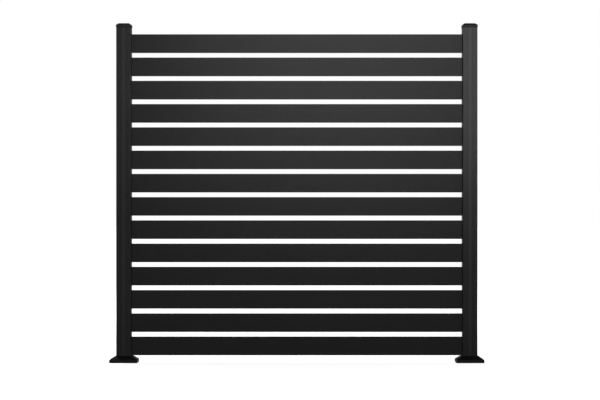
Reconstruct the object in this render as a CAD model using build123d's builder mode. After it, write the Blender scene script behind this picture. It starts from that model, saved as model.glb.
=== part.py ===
from build123d import *
from math import atan2, degrees, hypot
import os

os.makedirs("parts", exist_ok=True)

# Slats: flat hollow bars with daylight between them.
slat_count = 14
slat_length = 1800
slat_height = 100
slat_thickness = 20
slat_corner = 0.8
slat_wall = 1.4
slat_web = 1.2
slat_chambers = 3
slat_gap = 25

# Posts: square extrusions with a slat slot in the middle of every side.
post_width = 80
post_corner = 3
post_wall = 2
slot_clearance = 1
slot_depth = 14
slat_end_gap = 2.5
post_headroom = 45

# Screw ports: closed blocks in the corners of the post, for the base plate's screws.
port_width = 9
port_bore = 5
port_merge = 0.5

# Infill section: closes a slot that holds no slat, and cut short it spaces the slats.
infill_clearance = 0.3
infill_recess = 0.4
infill_depth = 11
infill_wall = 1.6
infill_bevel = 0.6

# Base plates, bolted down under the covers.
plate_width = 140
plate_thickness = 8
plate_corner = 8
anchor_hole = 12
anchor_edge = 15
screw_clearance = 1
screw_head = 12

# Base covers: a short upright lip, then slopes rising to the post.
cover_gap = 3
cover_corner = 6
cover_lip = 16
cover_height = 37
cover_wall = 2
cover_clearance = 0.3
cover_rim = 1.5
cover_headroom = 1

# Caps: a lip round the head of the post that draws in at its rim, a bevelled top and a spigot inside.
cap_wall = 1.4
cap_clearance = 0.2
cap_corner = 3
cap_lap = 10
cap_rise = 13
cap_bevel_run = 14
cap_bevel_rise = 9.5
cap_rim_height = 4.5
cap_rim_draw = 0.8
cap_roof = 3
cap_ledge = 12
spigot_clearance = 0.4
spigot_wall = 2
spigot_depth = 18

# Levels and distances that follow from the sizes above.
slat_pitch = slat_height + slat_gap
slat_base = cover_height + cover_headroom
slat_stack = slat_count * slat_pitch - slat_gap
post_length = slat_base - plate_thickness + slat_stack + post_headroom
post_top = plate_thickness + post_length
slot_width = slat_thickness + 2 * slot_clearance
post_centres = slat_length + 2 * slat_end_gap + post_width - 2 * slot_depth
port_offset = post_width / 2 - post_wall - port_width / 2 + port_merge
anchor_spacing = plate_width - 2 * anchor_edge
cover_inner = plate_width + 2 * cover_gap
cover_width = cover_inner + 2 * cover_wall

chamber_height = (slat_height - 2 * slat_wall - (slat_chambers - 1) * slat_web) / slat_chambers
with BuildSketch() as slat_section:
    RectangleRounded(slat_thickness, slat_height, slat_corner)
    with GridLocations(0, chamber_height + slat_web, 1, slat_chambers):
        Rectangle(slat_thickness - 2 * slat_wall, chamber_height, mode=Mode.SUBTRACT)

post_cavity = post_width - 2 * post_wall
slot_outer = slot_depth + post_wall
with BuildSketch() as post_section:
    RectangleRounded(post_width, post_width, post_corner)
    Rectangle(post_cavity, post_cavity, mode=Mode.SUBTRACT)
    with PolarLocations((post_width - slot_outer) / 2, 4):
        Rectangle(slot_outer, slot_width + 2 * post_wall)
    with GridLocations(2 * port_offset, 2 * port_offset, 2, 2):
        Rectangle(port_width, port_width)
    with PolarLocations((post_width - slot_depth) / 2, 4):
        Rectangle(slot_depth, slot_width, mode=Mode.SUBTRACT)
    with GridLocations(2 * port_offset, 2 * port_offset, 2, 2):
        Circle(port_bore / 2, mode=Mode.SUBTRACT)

infill_face = post_width / 2 - infill_recess
infill_width = slot_width - 2 * infill_clearance
infill_hollow = infill_depth - infill_wall
with BuildSketch() as infill_section:
    with Locations((infill_face - infill_depth / 2, 0)):
        Rectangle(infill_depth, infill_width)
    chamfer(infill_section.vertices().group_by(Axis.X)[-1], infill_bevel)
    with Locations((infill_face - infill_wall - infill_hollow / 2, 0)):
        Rectangle(infill_hollow, infill_width - 2 * infill_wall, mode=Mode.SUBTRACT)


def hipped_block(width, corner, height, top_width, slope):
    """A square block with rounded corners, cut by four slopes that rise to top_width."""
    with BuildPart() as block:
        with BuildSketch():
            RectangleRounded(width, width, corner)
        extrude(amount=height)
        pyramid_width = top_width + 2 * height * slope
        with BuildSketch():
            Rectangle(pyramid_width, pyramid_width)
        extrude(amount=height, taper=degrees(atan2(slope, 1)), mode=Mode.INTERSECT)
    return block.part


# Slats, from the top one down.
slat_start = post_width / 2 - slot_depth + slat_end_gap
for number in range(1, slat_count + 1):
    middle = slat_base + slat_stack - slat_height / 2 - (number - 1) * slat_pitch
    with BuildPart() as slat:
        with BuildSketch(Plane((slat_start, 0, middle), x_dir=(0, 1, 0), z_dir=(1, 0, 0))):
            add(slat_section.sketch)
        extrude(amount=slat_length)
    slat.part.label = f"slat_{number:02d}"
    export_step(slat.part, f"parts/slat_{number:02d}.step")

# Base covers are shells: "slope" is how far a slope runs for each unit that it rises.
collar_width = post_width + 2 * (cover_clearance + cover_rim)
cover_slope = (cover_width - collar_width) / 2 / (cover_height - cover_lip)
cover_ceiling = cover_height - cover_wall * hypot(1, cover_slope) / cover_slope
cover_body = hipped_block(cover_width, cover_corner, cover_height, collar_width, cover_slope)
cover_hollow = hipped_block(
    cover_inner, cover_corner - cover_wall, cover_ceiling, collar_width, cover_slope
)

cap_seat = post_width + 2 * cap_clearance
cap_width = cap_seat + 2 * cap_wall
cap_height = cap_lap + cap_rise
cap_slope = cap_bevel_run / cap_bevel_rise
cap_body = hipped_block(cap_width, cap_corner, cap_height, cap_width - 2 * cap_bevel_run, cap_slope)
rim_width = cap_width - 2 * cap_rim_draw
rim_angle = degrees(atan2(cap_rim_draw, cap_rim_height))
spigot_width = post_width - 2 * slot_outer - 2 * spigot_clearance

# Each end of the panel: "inward" is the direction in which its slats run.
for side, foot_x, inward in (("left", 0, 1), ("right", post_centres, -1)):

    with BuildPart() as base_plate:
        with BuildSketch(Plane((foot_x, 0, 0))):
            RectangleRounded(plate_width, plate_width, plate_corner)
            with GridLocations(anchor_spacing, anchor_spacing, 2, 2):
                Circle(anchor_hole / 2, mode=Mode.SUBTRACT)
        extrude(amount=plate_thickness)
        with Locations(Location((foot_x, 0, 0), (180, 0, 0))):
            with GridLocations(2 * port_offset, 2 * port_offset, 2, 2):
                CounterSinkHole((port_bore + screw_clearance) / 2, screw_head / 2)
    base_plate.part.label = f"{side}_base_plate"
    export_step(base_plate.part, f"parts/{side}_base_plate.step")

    with BuildPart() as post:
        with BuildSketch(Plane((foot_x, 0, plate_thickness))):
            add(post_section.sketch)
        extrude(amount=post_length)
    post.part.label = f"{side}_post"
    export_step(post.part, f"parts/{side}_post.step")

    # Infill strips close the three slots that take no slats.
    for face, outward in (("front", (0, -1, 0)), ("back", (0, 1, 0)), ("outer", (-inward, 0, 0))):
        with BuildPart() as strip:
            with BuildSketch(Plane((foot_x, 0, plate_thickness), x_dir=outward, z_dir=(0, 0, 1))):
                add(infill_section.sketch)
            extrude(amount=post_length)
        strip.part.label = f"{side}_{face}_strip"
        export_step(strip.part, f"parts/{side}_{face}_strip.step")

    # Spacers fill the slat slot below, between and above the slats.
    with BuildPart() as spacers:
        with BuildSketch(Plane((foot_x, 0, plate_thickness), x_dir=(inward, 0, 0), z_dir=(0, 0, 1))):
            add(infill_section.sketch)
        extrude(amount=slat_base - plate_thickness)
        for number in range(1, slat_count):
            level = slat_base + number * slat_pitch - slat_gap
            with BuildSketch(Plane((foot_x, 0, level), x_dir=(inward, 0, 0), z_dir=(0, 0, 1))):
                add(infill_section.sketch)
            extrude(amount=slat_gap)
        with BuildSketch(
            Plane((foot_x, 0, slat_base + slat_stack), x_dir=(inward, 0, 0), z_dir=(0, 0, 1))
        ):
            add(infill_section.sketch)
        extrude(amount=post_headroom)
    spacers.part.label = f"{side}_spacers"
    export_step(spacers.part, f"parts/{side}_spacers.step")

    with BuildPart() as base_cover:
        with Locations((foot_x, 0, 0)):
            add(cover_body)
            add(cover_hollow, mode=Mode.SUBTRACT)
        opening = post_width + 2 * cover_clearance
        with BuildSketch(Plane((foot_x, 0, 0))):
            RectangleRounded(opening, opening, post_corner + cover_clearance)
        extrude(amount=cover_height, mode=Mode.SUBTRACT)
    base_cover.part.label = f"{side}_base_cover"
    export_step(base_cover.part, f"parts/{side}_base_cover.step")

    with BuildPart() as post_cap:
        with Locations((foot_x, 0, post_top - cap_lap)):
            add(cap_body)
        with BuildSketch(Plane((foot_x, 0, post_top - cap_lap))):
            Rectangle(rim_width, rim_width)
        extrude(amount=cap_height, taper=-rim_angle, mode=Mode.INTERSECT)
        with BuildSketch(Plane((foot_x, 0, post_top - cap_lap))):
            RectangleRounded(cap_seat, cap_seat, post_corner + cap_clearance)
        extrude(amount=cap_lap, mode=Mode.SUBTRACT)
        with BuildSketch(Plane((foot_x, 0, post_top))):
            Rectangle(cap_seat - 2 * cap_ledge, cap_seat - 2 * cap_ledge)
        extrude(amount=cap_rise - cap_roof, mode=Mode.SUBTRACT)
        with BuildSketch(Plane((foot_x, 0, post_top + cap_rise - cap_roof))):
            Rectangle(spigot_width, spigot_width)
            Rectangle(spigot_width - 2 * spigot_wall, spigot_width - 2 * spigot_wall, mode=Mode.SUBTRACT)
        extrude(amount=-(spigot_depth + cap_rise - cap_roof))
    post_cap.part.label = f"{side}_post_cap"
    export_step(post_cap.part, f"parts/{side}_post_cap.step")
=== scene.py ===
import math

import bmesh
import bpy
from mathutils import Matrix, Vector


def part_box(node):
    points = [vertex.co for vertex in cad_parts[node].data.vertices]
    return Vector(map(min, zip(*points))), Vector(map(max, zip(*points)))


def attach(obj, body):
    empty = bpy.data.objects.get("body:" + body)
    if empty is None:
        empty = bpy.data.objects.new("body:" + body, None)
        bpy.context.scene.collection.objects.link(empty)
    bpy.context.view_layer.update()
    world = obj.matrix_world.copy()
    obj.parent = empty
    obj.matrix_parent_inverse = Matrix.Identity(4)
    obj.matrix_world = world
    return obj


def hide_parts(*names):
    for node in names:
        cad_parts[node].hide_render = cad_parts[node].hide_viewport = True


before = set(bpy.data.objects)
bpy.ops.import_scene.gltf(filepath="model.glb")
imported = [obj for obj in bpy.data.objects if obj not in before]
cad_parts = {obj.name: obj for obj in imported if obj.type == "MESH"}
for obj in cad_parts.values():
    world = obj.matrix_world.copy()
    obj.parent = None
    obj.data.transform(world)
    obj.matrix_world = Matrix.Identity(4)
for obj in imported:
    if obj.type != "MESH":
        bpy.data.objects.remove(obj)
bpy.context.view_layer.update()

# Lengths are in metres. The frame gives the places of the CAD pieces.
SIDES = ("left", "right")
STRIP_FACES = ("front", "back", "outer")
SLATS = sorted(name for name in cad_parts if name.startswith("slat_"))

# Mouldings: how far their sharp edges are rounded, and what counts as sharp, creased, flat or an underside.
# The edges round a cap's corners are facets, which are too short to be rounded.
COVER_ROUNDING = 0.0004
CAP_ROUNDING = 0.0005
CAP_FACET = 0.005
EDGE_STEPS = 3
EDGE_ANGLE = math.radians(30)
CREASE_ANGLE = math.radians(9)
FLAT_ANGLE = math.radians(1)
MERGE_DISTANCE = 0.00002
DOWNWARD = -0.99

# Plate screws: countersunk, with a hexagon socket, their heads just inside the plate.
SCREW_OFFSET = 0.034
SCREW_RECESS = 0.0003
SCREW_HEAD_RADIUS = 0.0057
SCREW_HEAD_DEPTH = 0.0036
SCREW_SHANK_RADIUS = 0.0024
SCREW_LENGTH = 0.03
SCREW_SEGMENTS = 32
SOCKET_SIDES = 6
SOCKET_RADIUS = 0.0023
SOCKET_DEPTH = 0.0018

# Colours are linear; each finish runs between a darker and a paler one.
WHITE = (1.0, 1.0, 1.0, 1.0)
PALE_GREY = (0.8, 0.8, 0.8, 1.0)
SLAT_BLACKS = ((0.0016, 0.0016, 0.0016, 1.0), (0.0060, 0.0060, 0.0060, 1.0))
POST_BLACKS = ((0.0012, 0.0012, 0.0012, 1.0), (0.0048, 0.0048, 0.0048, 1.0))
STRIP_BLACKS = ((0.0010, 0.0010, 0.0010, 1.0), (0.0026, 0.0026, 0.0026, 1.0))
MOULDING_BLACKS = ((0.0022, 0.0022, 0.0022, 1.0), (0.0050, 0.0050, 0.0050, 1.0))
SCREW_STEELS = ((0.42, 0.41, 0.40, 1.0), (0.52, 0.51, 0.50, 1.0))

# Grain of a finish: the sizes of its features, the fine grain's part in the relief and the relief's depth.
PEEL_SIZE = 0.003
GRAIN_SIZE = 0.0006
CLOUD_SIZE = 0.12
GRAIN_SHARE = 0.35
RELIEF_DEPTH = 0.0002
CLOUD_RANGE = (0.3, 0.7)

# How far a normal points along Y on the sides, and on fronts and backs.
SIDE_TO_FACE = (0.6, 0.9)
SIDE_ROUGHNESS = 0.5

# The Mix node's colour sockets, which share their names with its other sockets.
MIX_COLOUR_A = 6
MIX_COLOUR_B = 7
MIX_COLOUR_RESULT = 2

# Floor: its glow is weaker near the panel, where the lamps light it most.
FLOOR_REACH = 60.0
FLOOR_NEAR_TO_FAR = (1.5, 5.0)
FLOOR_GLOW = (0.7, 1.0)

# Backdrop: its level by the height of the direction, from 0 at the horizon to 1 overhead.
HORIZON_HEIGHTS = (0.095, 0.17)
HORIZON_LEVELS = (1.0, 0.25)
OVERHEAD_HEIGHTS = (0.6, 0.85)
OVERHEAD_LEVELS = (1.0, 0.1)

CAMERA_PLACE = Vector((0.9455, -12.01, 0.8724))
CAMERA_TARGET = Vector((0.9455, 0.0, 0.8724))
CAMERA_LENS = 134.0
PANEL_MIDDLE = (0.93, 0.0, 0.9)
FILL_SIZE = 3.0


def add_node(tree, kind, inputs=None, **settings):
    """Adds a node; an input is either a value or the socket that feeds it."""
    node = tree.nodes.new(kind)
    for name, value in settings.items():
        setattr(node, name, value)
    for name, value in (inputs or {}).items():
        if isinstance(value, bpy.types.NodeSocket):
            tree.links.new(value, node.inputs[name])
        else:
            node.inputs[name].default_value = value
    return node


def compute(tree, operation, *values):
    """The result of a Math node."""
    return add_node(tree, "ShaderNodeMath", dict(enumerate(values)), operation=operation).outputs[0]


def map_range(tree, value, source, result, interpolation="LINEAR"):
    """A value carried over from one range to another."""
    inputs = {
        "Value": value,
        "From Min": source[0],
        "From Max": source[1],
        "To Min": result[0],
        "To Max": result[1],
    }
    node = add_node(tree, "ShaderNodeMapRange", inputs, interpolation_type=interpolation)
    return node.outputs[0]


def add_noise(tree, vector, size, detail):
    """Noise whose features are about as large as size."""
    scale = compute(tree, "DIVIDE", 1.0, size)
    inputs = {"Vector": vector, "Scale": scale, "Detail": detail}
    return add_node(tree, "ShaderNodeTexNoise", inputs).outputs["Fac"]


def new_group(name, inputs, outputs):
    """A shader node group with named float or vector inputs and float outputs."""
    group = bpy.data.node_groups.new(name, "ShaderNodeTree")
    for socket, kind, value in inputs:
        made = group.interface.new_socket(socket, in_out="INPUT", socket_type=kind)
        if value is not None:
            made.default_value = value
    for socket in outputs:
        group.interface.new_socket(socket, in_out="OUTPUT", socket_type="NodeSocketFloat")
    entry = group.nodes.new("NodeGroupInput")
    leave = group.nodes.new("NodeGroupOutput")
    return group, entry, leave


def make_coat_grain():
    """Orange peel and fine grain as relief, slow clouding, and specks of grain on the clouds."""
    group, entry, leave = new_group(
        "coat_grain",
        [
            ("Vector", "NodeSocketVector", None),
            ("Peel Size", "NodeSocketFloat", PEEL_SIZE),
            ("Grain Size", "NodeSocketFloat", GRAIN_SIZE),
            ("Cloud Size", "NodeSocketFloat", CLOUD_SIZE),
        ],
        ("Height", "Cloud", "Speckle"),
    )
    vector = entry.outputs["Vector"]
    peel = add_noise(group, vector, entry.outputs["Peel Size"], 1.0)
    grain = add_noise(group, vector, entry.outputs["Grain Size"], 0.0)
    cloud = add_noise(group, vector, entry.outputs["Cloud Size"], 3.0)
    height = compute(group, "MULTIPLY_ADD", grain, GRAIN_SHARE, peel)
    speckle = compute(group, "MULTIPLY", compute(group, "ADD", cloud, grain), 0.5)
    group.links.new(height, leave.inputs["Height"])
    group.links.new(cloud, leave.inputs["Cloud"])
    group.links.new(speckle, leave.inputs["Speckle"])
    return group


def make_side_dulling():
    """Roughness with one value on fronts and backs, and another on tops and sides."""
    group, entry, leave = new_group(
        "side_dulling",
        [("Face", "NodeSocketFloat", 0.25), ("Side", "NodeSocketFloat", SIDE_ROUGHNESS)],
        ("Roughness",),
    )
    surface = add_node(group, "ShaderNodeNewGeometry")
    normal = add_node(group, "ShaderNodeSeparateXYZ", {0: surface.outputs["True Normal"]})
    facing = compute(group, "ABSOLUTE", normal.outputs["Y"])
    roughness = map_range(group, facing, SIDE_TO_FACE, (entry.outputs["Side"], entry.outputs["Face"]))
    group.links.new(roughness, leave.inputs["Roughness"])
    return group


coat_grain = make_coat_grain()
side_dulling = make_side_dulling()


def make_finish(name, colours, roughness, peel_size, bump, gloss=0.5, metallic=0.0, side_roughness=None):
    """A finish whose colour and roughness drift a little; tops and sides may be duller than fronts."""
    material = bpy.data.materials.new(name)
    material.use_nodes = True
    tree = material.node_tree
    tree.nodes.clear()
    place = add_node(tree, "ShaderNodeTexCoord")
    grain_inputs = {"Vector": place.outputs["Object"], "Peel Size": peel_size}
    grain = add_node(tree, "ShaderNodeGroup", grain_inputs, node_tree=coat_grain)
    colour_inputs = {
        "Factor": grain.outputs["Speckle"],
        MIX_COLOUR_A: colours[0],
        MIX_COLOUR_B: colours[1],
    }
    colour = add_node(tree, "ShaderNodeMix", colour_inputs, data_type="RGBA")
    rough = map_range(tree, grain.outputs["Cloud"], CLOUD_RANGE, roughness)
    if side_roughness is not None:
        dulling_inputs = {"Face": rough, "Side": side_roughness}
        dulling = add_node(tree, "ShaderNodeGroup", dulling_inputs, node_tree=side_dulling)
        rough = dulling.outputs["Roughness"]
    relief = add_node(
        tree,
        "ShaderNodeBump",
        {"Height": grain.outputs["Height"], "Strength": bump, "Distance": RELIEF_DEPTH},
    )
    shader = add_node(
        tree,
        "ShaderNodeBsdfPrincipled",
        {
            "Base Color": colour.outputs[MIX_COLOUR_RESULT],
            "Roughness": rough,
            "Metallic": metallic,
            "Specular IOR Level": gloss,
            "Normal": relief.outputs[0],
        },
    )
    add_node(tree, "ShaderNodeOutputMaterial", {"Surface": shader.outputs[0]})
    return material


slat_coat = make_finish(
    "slat_coat",
    colours=SLAT_BLACKS,
    roughness=(0.25, 0.27),
    side_roughness=SIDE_ROUGHNESS,
    gloss=0.069,
    peel_size=PEEL_SIZE,
    bump=0.35,
)
post_coat = make_finish(
    "post_coat",
    colours=POST_BLACKS,
    roughness=(0.195, 0.215),
    side_roughness=SIDE_ROUGHNESS,
    gloss=0.09,
    peel_size=PEEL_SIZE,
    bump=0.35,
)
plate_coat = make_finish(
    "plate_coat",
    colours=POST_BLACKS,
    roughness=(0.38, 0.46),
    gloss=0.1,
    peel_size=0.004,
    bump=0.35,
)
strip_plastic = make_finish(
    "strip_plastic",
    colours=STRIP_BLACKS,
    roughness=(0.225, 0.245),
    side_roughness=SIDE_ROUGHNESS,
    gloss=0.122,
    peel_size=0.002,
    bump=0.05,
)
cover_plastic = make_finish(
    "cover_plastic",
    colours=MOULDING_BLACKS,
    roughness=(0.58, 0.66),
    gloss=0.07,
    peel_size=0.001,
    bump=0.1,
)
cap_plastic = make_finish(
    "cap_plastic",
    colours=MOULDING_BLACKS,
    roughness=(0.30, 0.36),
    side_roughness=0.62,
    gloss=0.08,
    peel_size=0.001,
    bump=0.1,
)
screw_steel = make_finish(
    "screw_steel",
    colours=SCREW_STEELS,
    roughness=(0.28, 0.4),
    metallic=1.0,
    peel_size=0.002,
    bump=0.05,
)


def paint(node, material):
    """Gives a CAD node its finish."""
    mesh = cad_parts[node].data
    mesh.materials.clear()
    mesh.materials.append(material)


for slat in SLATS:
    paint(slat, slat_coat)
for side in SIDES:
    paint(f"{side}_post", post_coat)
    paint(f"{side}_base_plate", plate_coat)
    for face in STRIP_FACES:
        paint(f"{side}_{face}_strip", strip_plastic)
    paint(f"{side}_spacers", strip_plastic)
    paint(f"{side}_base_cover", cover_plastic)
    paint(f"{side}_post_cap", cap_plastic)


def link_piece(name, shape, material, sharp_angle=EDGE_ANGLE):
    """Puts a finished shape into the scene as a piece of the panel."""
    mesh = bpy.data.meshes.new(name)
    shape.to_mesh(mesh)
    shape.free()
    mesh.materials.append(material)
    mesh.shade_smooth()
    mesh.set_sharp_from_angle(angle=sharp_angle)
    piece = bpy.data.objects.new(name, mesh)
    bpy.context.scene.collection.objects.link(piece)
    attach(piece, "root")
    return piece


def ease_moulding(node, rounding, material, facet=0.0):
    """A copy of a moulding, which stands for the CAD node, with its sharp outer edges rounded.

    Edges that reach an underside, or a corner with edges no longer than facet, stay sharp.
    """
    shape = bmesh.new()
    shape.from_mesh(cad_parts[node].data)
    bmesh.ops.remove_doubles(shape, verts=shape.verts, dist=MERGE_DISTANCE)
    bmesh.ops.dissolve_limit(shape, angle_limit=FLAT_ANGLE, verts=shape.verts, edges=shape.edges)
    outer = [
        edge
        for edge in shape.edges
        if edge.is_convex
        and edge.calc_face_angle(0.0) > EDGE_ANGLE
        and all(face.normal.z > DOWNWARD for vert in edge.verts for face in vert.link_faces)
        and all(near.calc_length() > facet for vert in edge.verts for near in vert.link_edges)
    ]
    bmesh.ops.bevel(
        shape,
        geom=outer,
        offset=rounding,
        affect="EDGES",
        segments=EDGE_STEPS,
        profile=0.5,
        material=-1,
        clamp_overlap=True,
    )
    piece = link_piece(f"eased_{node}", shape, material, CREASE_ANGLE)
    flats = piece.modifiers.new("keep_flats_flat", "WEIGHTED_NORMAL")
    flats.keep_sharp = True
    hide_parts(node)


def extrude_rim(shape, rim, centre, rise, spread=1.0):
    """Draws a rim up by rise, spread wider or narrower about the centre, and returns the new rim."""
    drawn = bmesh.ops.extrude_edge_only(shape, edges=rim)["geom"]
    verts = [part for part in drawn if isinstance(part, bmesh.types.BMVert)]
    bmesh.ops.translate(shape, verts=verts, vec=(0.0, 0.0, rise))
    about_centre = Matrix.Translation(-centre)
    bmesh.ops.scale(shape, verts=verts, vec=(spread, spread, 1.0), space=about_centre)
    return [part for part in drawn if isinstance(part, bmesh.types.BMEdge)]


def circle_edges(circle):
    """The edges of a circle that an operator has just made."""
    return list(dict.fromkeys(edge for vert in circle["verts"] for edge in vert.link_edges))


def add_screw(shape, centre):
    """One countersunk screw, head down: its socket, then its head, neck and tip."""
    socket_floor = Matrix.Translation(centre + Vector((0.0, 0.0, SOCKET_DEPTH)))
    socket = bmesh.ops.create_circle(
        shape, cap_ends=True, segments=SOCKET_SIDES, radius=SOCKET_RADIUS, matrix=socket_floor
    )
    mouth = extrude_rim(shape, circle_edges(socket), centre, -SOCKET_DEPTH)
    head = bmesh.ops.create_circle(
        shape, segments=SCREW_SEGMENTS, radius=SCREW_HEAD_RADIUS, matrix=Matrix.Translation(centre)
    )
    head_edges = circle_edges(head)
    bmesh.ops.bridge_loops(shape, edges=mouth + head_edges)
    neck_spread = SCREW_SHANK_RADIUS / SCREW_HEAD_RADIUS
    neck = extrude_rim(shape, head_edges, centre, SCREW_HEAD_DEPTH, neck_spread)
    tip = extrude_rim(shape, neck, centre, SCREW_LENGTH - SCREW_HEAD_DEPTH)
    bmesh.ops.contextual_create(shape, geom=tip)


def add_plate_screws(side, material):
    """The four screws that hold a base plate to the ports of its post."""
    low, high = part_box(f"{side}_base_plate")
    middle_x = (low[0] + high[0]) / 2
    middle_y = (low[1] + high[1]) / 2
    shape = bmesh.new()
    for across in (-SCREW_OFFSET, SCREW_OFFSET):
        for along in (-SCREW_OFFSET, SCREW_OFFSET):
            add_screw(shape, Vector((middle_x + across, middle_y + along, SCREW_RECESS)))
    bmesh.ops.recalc_face_normals(shape, faces=shape.faces)
    link_piece(f"{side}_plate_screws", shape, material)


for side in SIDES:
    ease_moulding(f"{side}_base_cover", COVER_ROUNDING, cover_plastic)
    ease_moulding(f"{side}_post_cap", CAP_ROUNDING, cap_plastic, CAP_FACET)
    add_plate_screws(side, screw_steel)


def make_floor_material():
    """A matt pale grey that also glows, for camera, glossy and transmission rays, up to white."""
    material = bpy.data.materials.new("pale_floor")
    material.use_nodes = True
    tree = material.node_tree
    tree.nodes.clear()
    path = add_node(tree, "ShaderNodeLightPath")
    seen = compute(tree, "MAXIMUM", path.outputs["Is Camera Ray"], path.outputs["Is Glossy Ray"])
    seen = compute(tree, "MAXIMUM", seen, path.outputs["Is Transmission Ray"])
    place = add_node(tree, "ShaderNodeTexCoord")
    offset = add_node(
        tree,
        "ShaderNodeVectorMath",
        {0: place.outputs["Object"], 1: (CAMERA_TARGET.x, 0.0, 0.0)},
        operation="DISTANCE",
    )
    level = map_range(tree, offset.outputs["Value"], FLOOR_NEAR_TO_FAR, FLOOR_GLOW, "SMOOTHSTEP")
    strength = compute(tree, "MULTIPLY", seen, level)
    glow = add_node(tree, "ShaderNodeEmission", {"Color": WHITE, "Strength": strength})
    matt = add_node(tree, "ShaderNodeBsdfDiffuse", {"Color": PALE_GREY})
    both = add_node(tree, "ShaderNodeAddShader", {0: glow.outputs[0], 1: matt.outputs[0]})
    add_node(tree, "ShaderNodeOutputMaterial", {"Surface": both.outputs[0]})
    return material


def make_floor():
    """A pale floor, white to the eye, that keeps the panel's shadow."""
    mesh = bpy.data.meshes.new("floor")
    shape = bmesh.new()
    bmesh.ops.create_grid(shape, x_segments=1, y_segments=1, size=FLOOR_REACH)
    shape.to_mesh(mesh)
    shape.free()
    mesh.materials.append(make_floor_material())
    floor = bpy.data.objects.new("floor", mesh)
    bpy.context.scene.collection.objects.link(floor)


def make_world():
    """White all round near the horizon, dimmer above it and dark overhead."""
    world = bpy.data.worlds.new("studio")
    world.use_nodes = True
    bpy.context.scene.world = world
    tree = world.node_tree
    tree.nodes.clear()
    direction = add_node(tree, "ShaderNodeTexCoord")
    parts = add_node(tree, "ShaderNodeSeparateXYZ", {0: direction.outputs["Generated"]})
    height = parts.outputs["Z"]
    horizon = map_range(tree, height, HORIZON_HEIGHTS, HORIZON_LEVELS, "SMOOTHSTEP")
    overhead = map_range(tree, height, OVERHEAD_HEIGHTS, OVERHEAD_LEVELS, "SMOOTHSTEP")
    level = compute(tree, "MULTIPLY", horizon, overhead)
    back = add_node(tree, "ShaderNodeBackground", {"Color": WHITE, "Strength": level})
    add_node(tree, "ShaderNodeOutputWorld", {"Surface": back.outputs[0]})


def aim(thing, place, target):
    """Places a lamp or camera and turns it to its target."""
    place = Vector(place)
    thing.location = place
    thing.rotation_euler = (Vector(target) - place).to_track_quat("-Z", "Y").to_euler()
    bpy.context.scene.collection.objects.link(thing)


def add_softbox(name, place, power, target=PANEL_MIDDLE, width=FILL_SIZE, height=FILL_SIZE):
    """A rectangular soft light that faces its target and is not seen by the camera."""
    light = bpy.data.lights.new(name, "AREA")
    light.shape = "RECTANGLE"
    light.size = width
    light.size_y = height
    light.energy = power
    lamp = bpy.data.objects.new(name, light)
    lamp.visible_camera = False
    aim(lamp, place, target)


def make_camera():
    """A long lens square to the panel, as in the photograph."""
    data = bpy.data.cameras.new("camera")
    data.lens = CAMERA_LENS
    data.dof.use_dof = False
    camera = bpy.data.objects.new("camera", data)
    aim(camera, CAMERA_PLACE, CAMERA_TARGET)
    bpy.context.scene.camera = camera


make_floor()
make_world()
add_softbox(
    "key_light",
    place=(1.415, -10.0, 3.236),
    power=466.0,
    target=(1.415, 0.0, 3.236),
    width=3.236,
    height=4.0,
)
add_softbox("right_light", place=(8.0, -1.5, 2.4), power=150.0)
add_softbox("left_light", place=(-6.5, 1.5, 2.4), power=110.0)
add_softbox("back_light", place=(-3.2, 6.0, 5.6), power=420.0)
make_camera()
bpy.context.scene.view_settings.view_transform = "Standard"
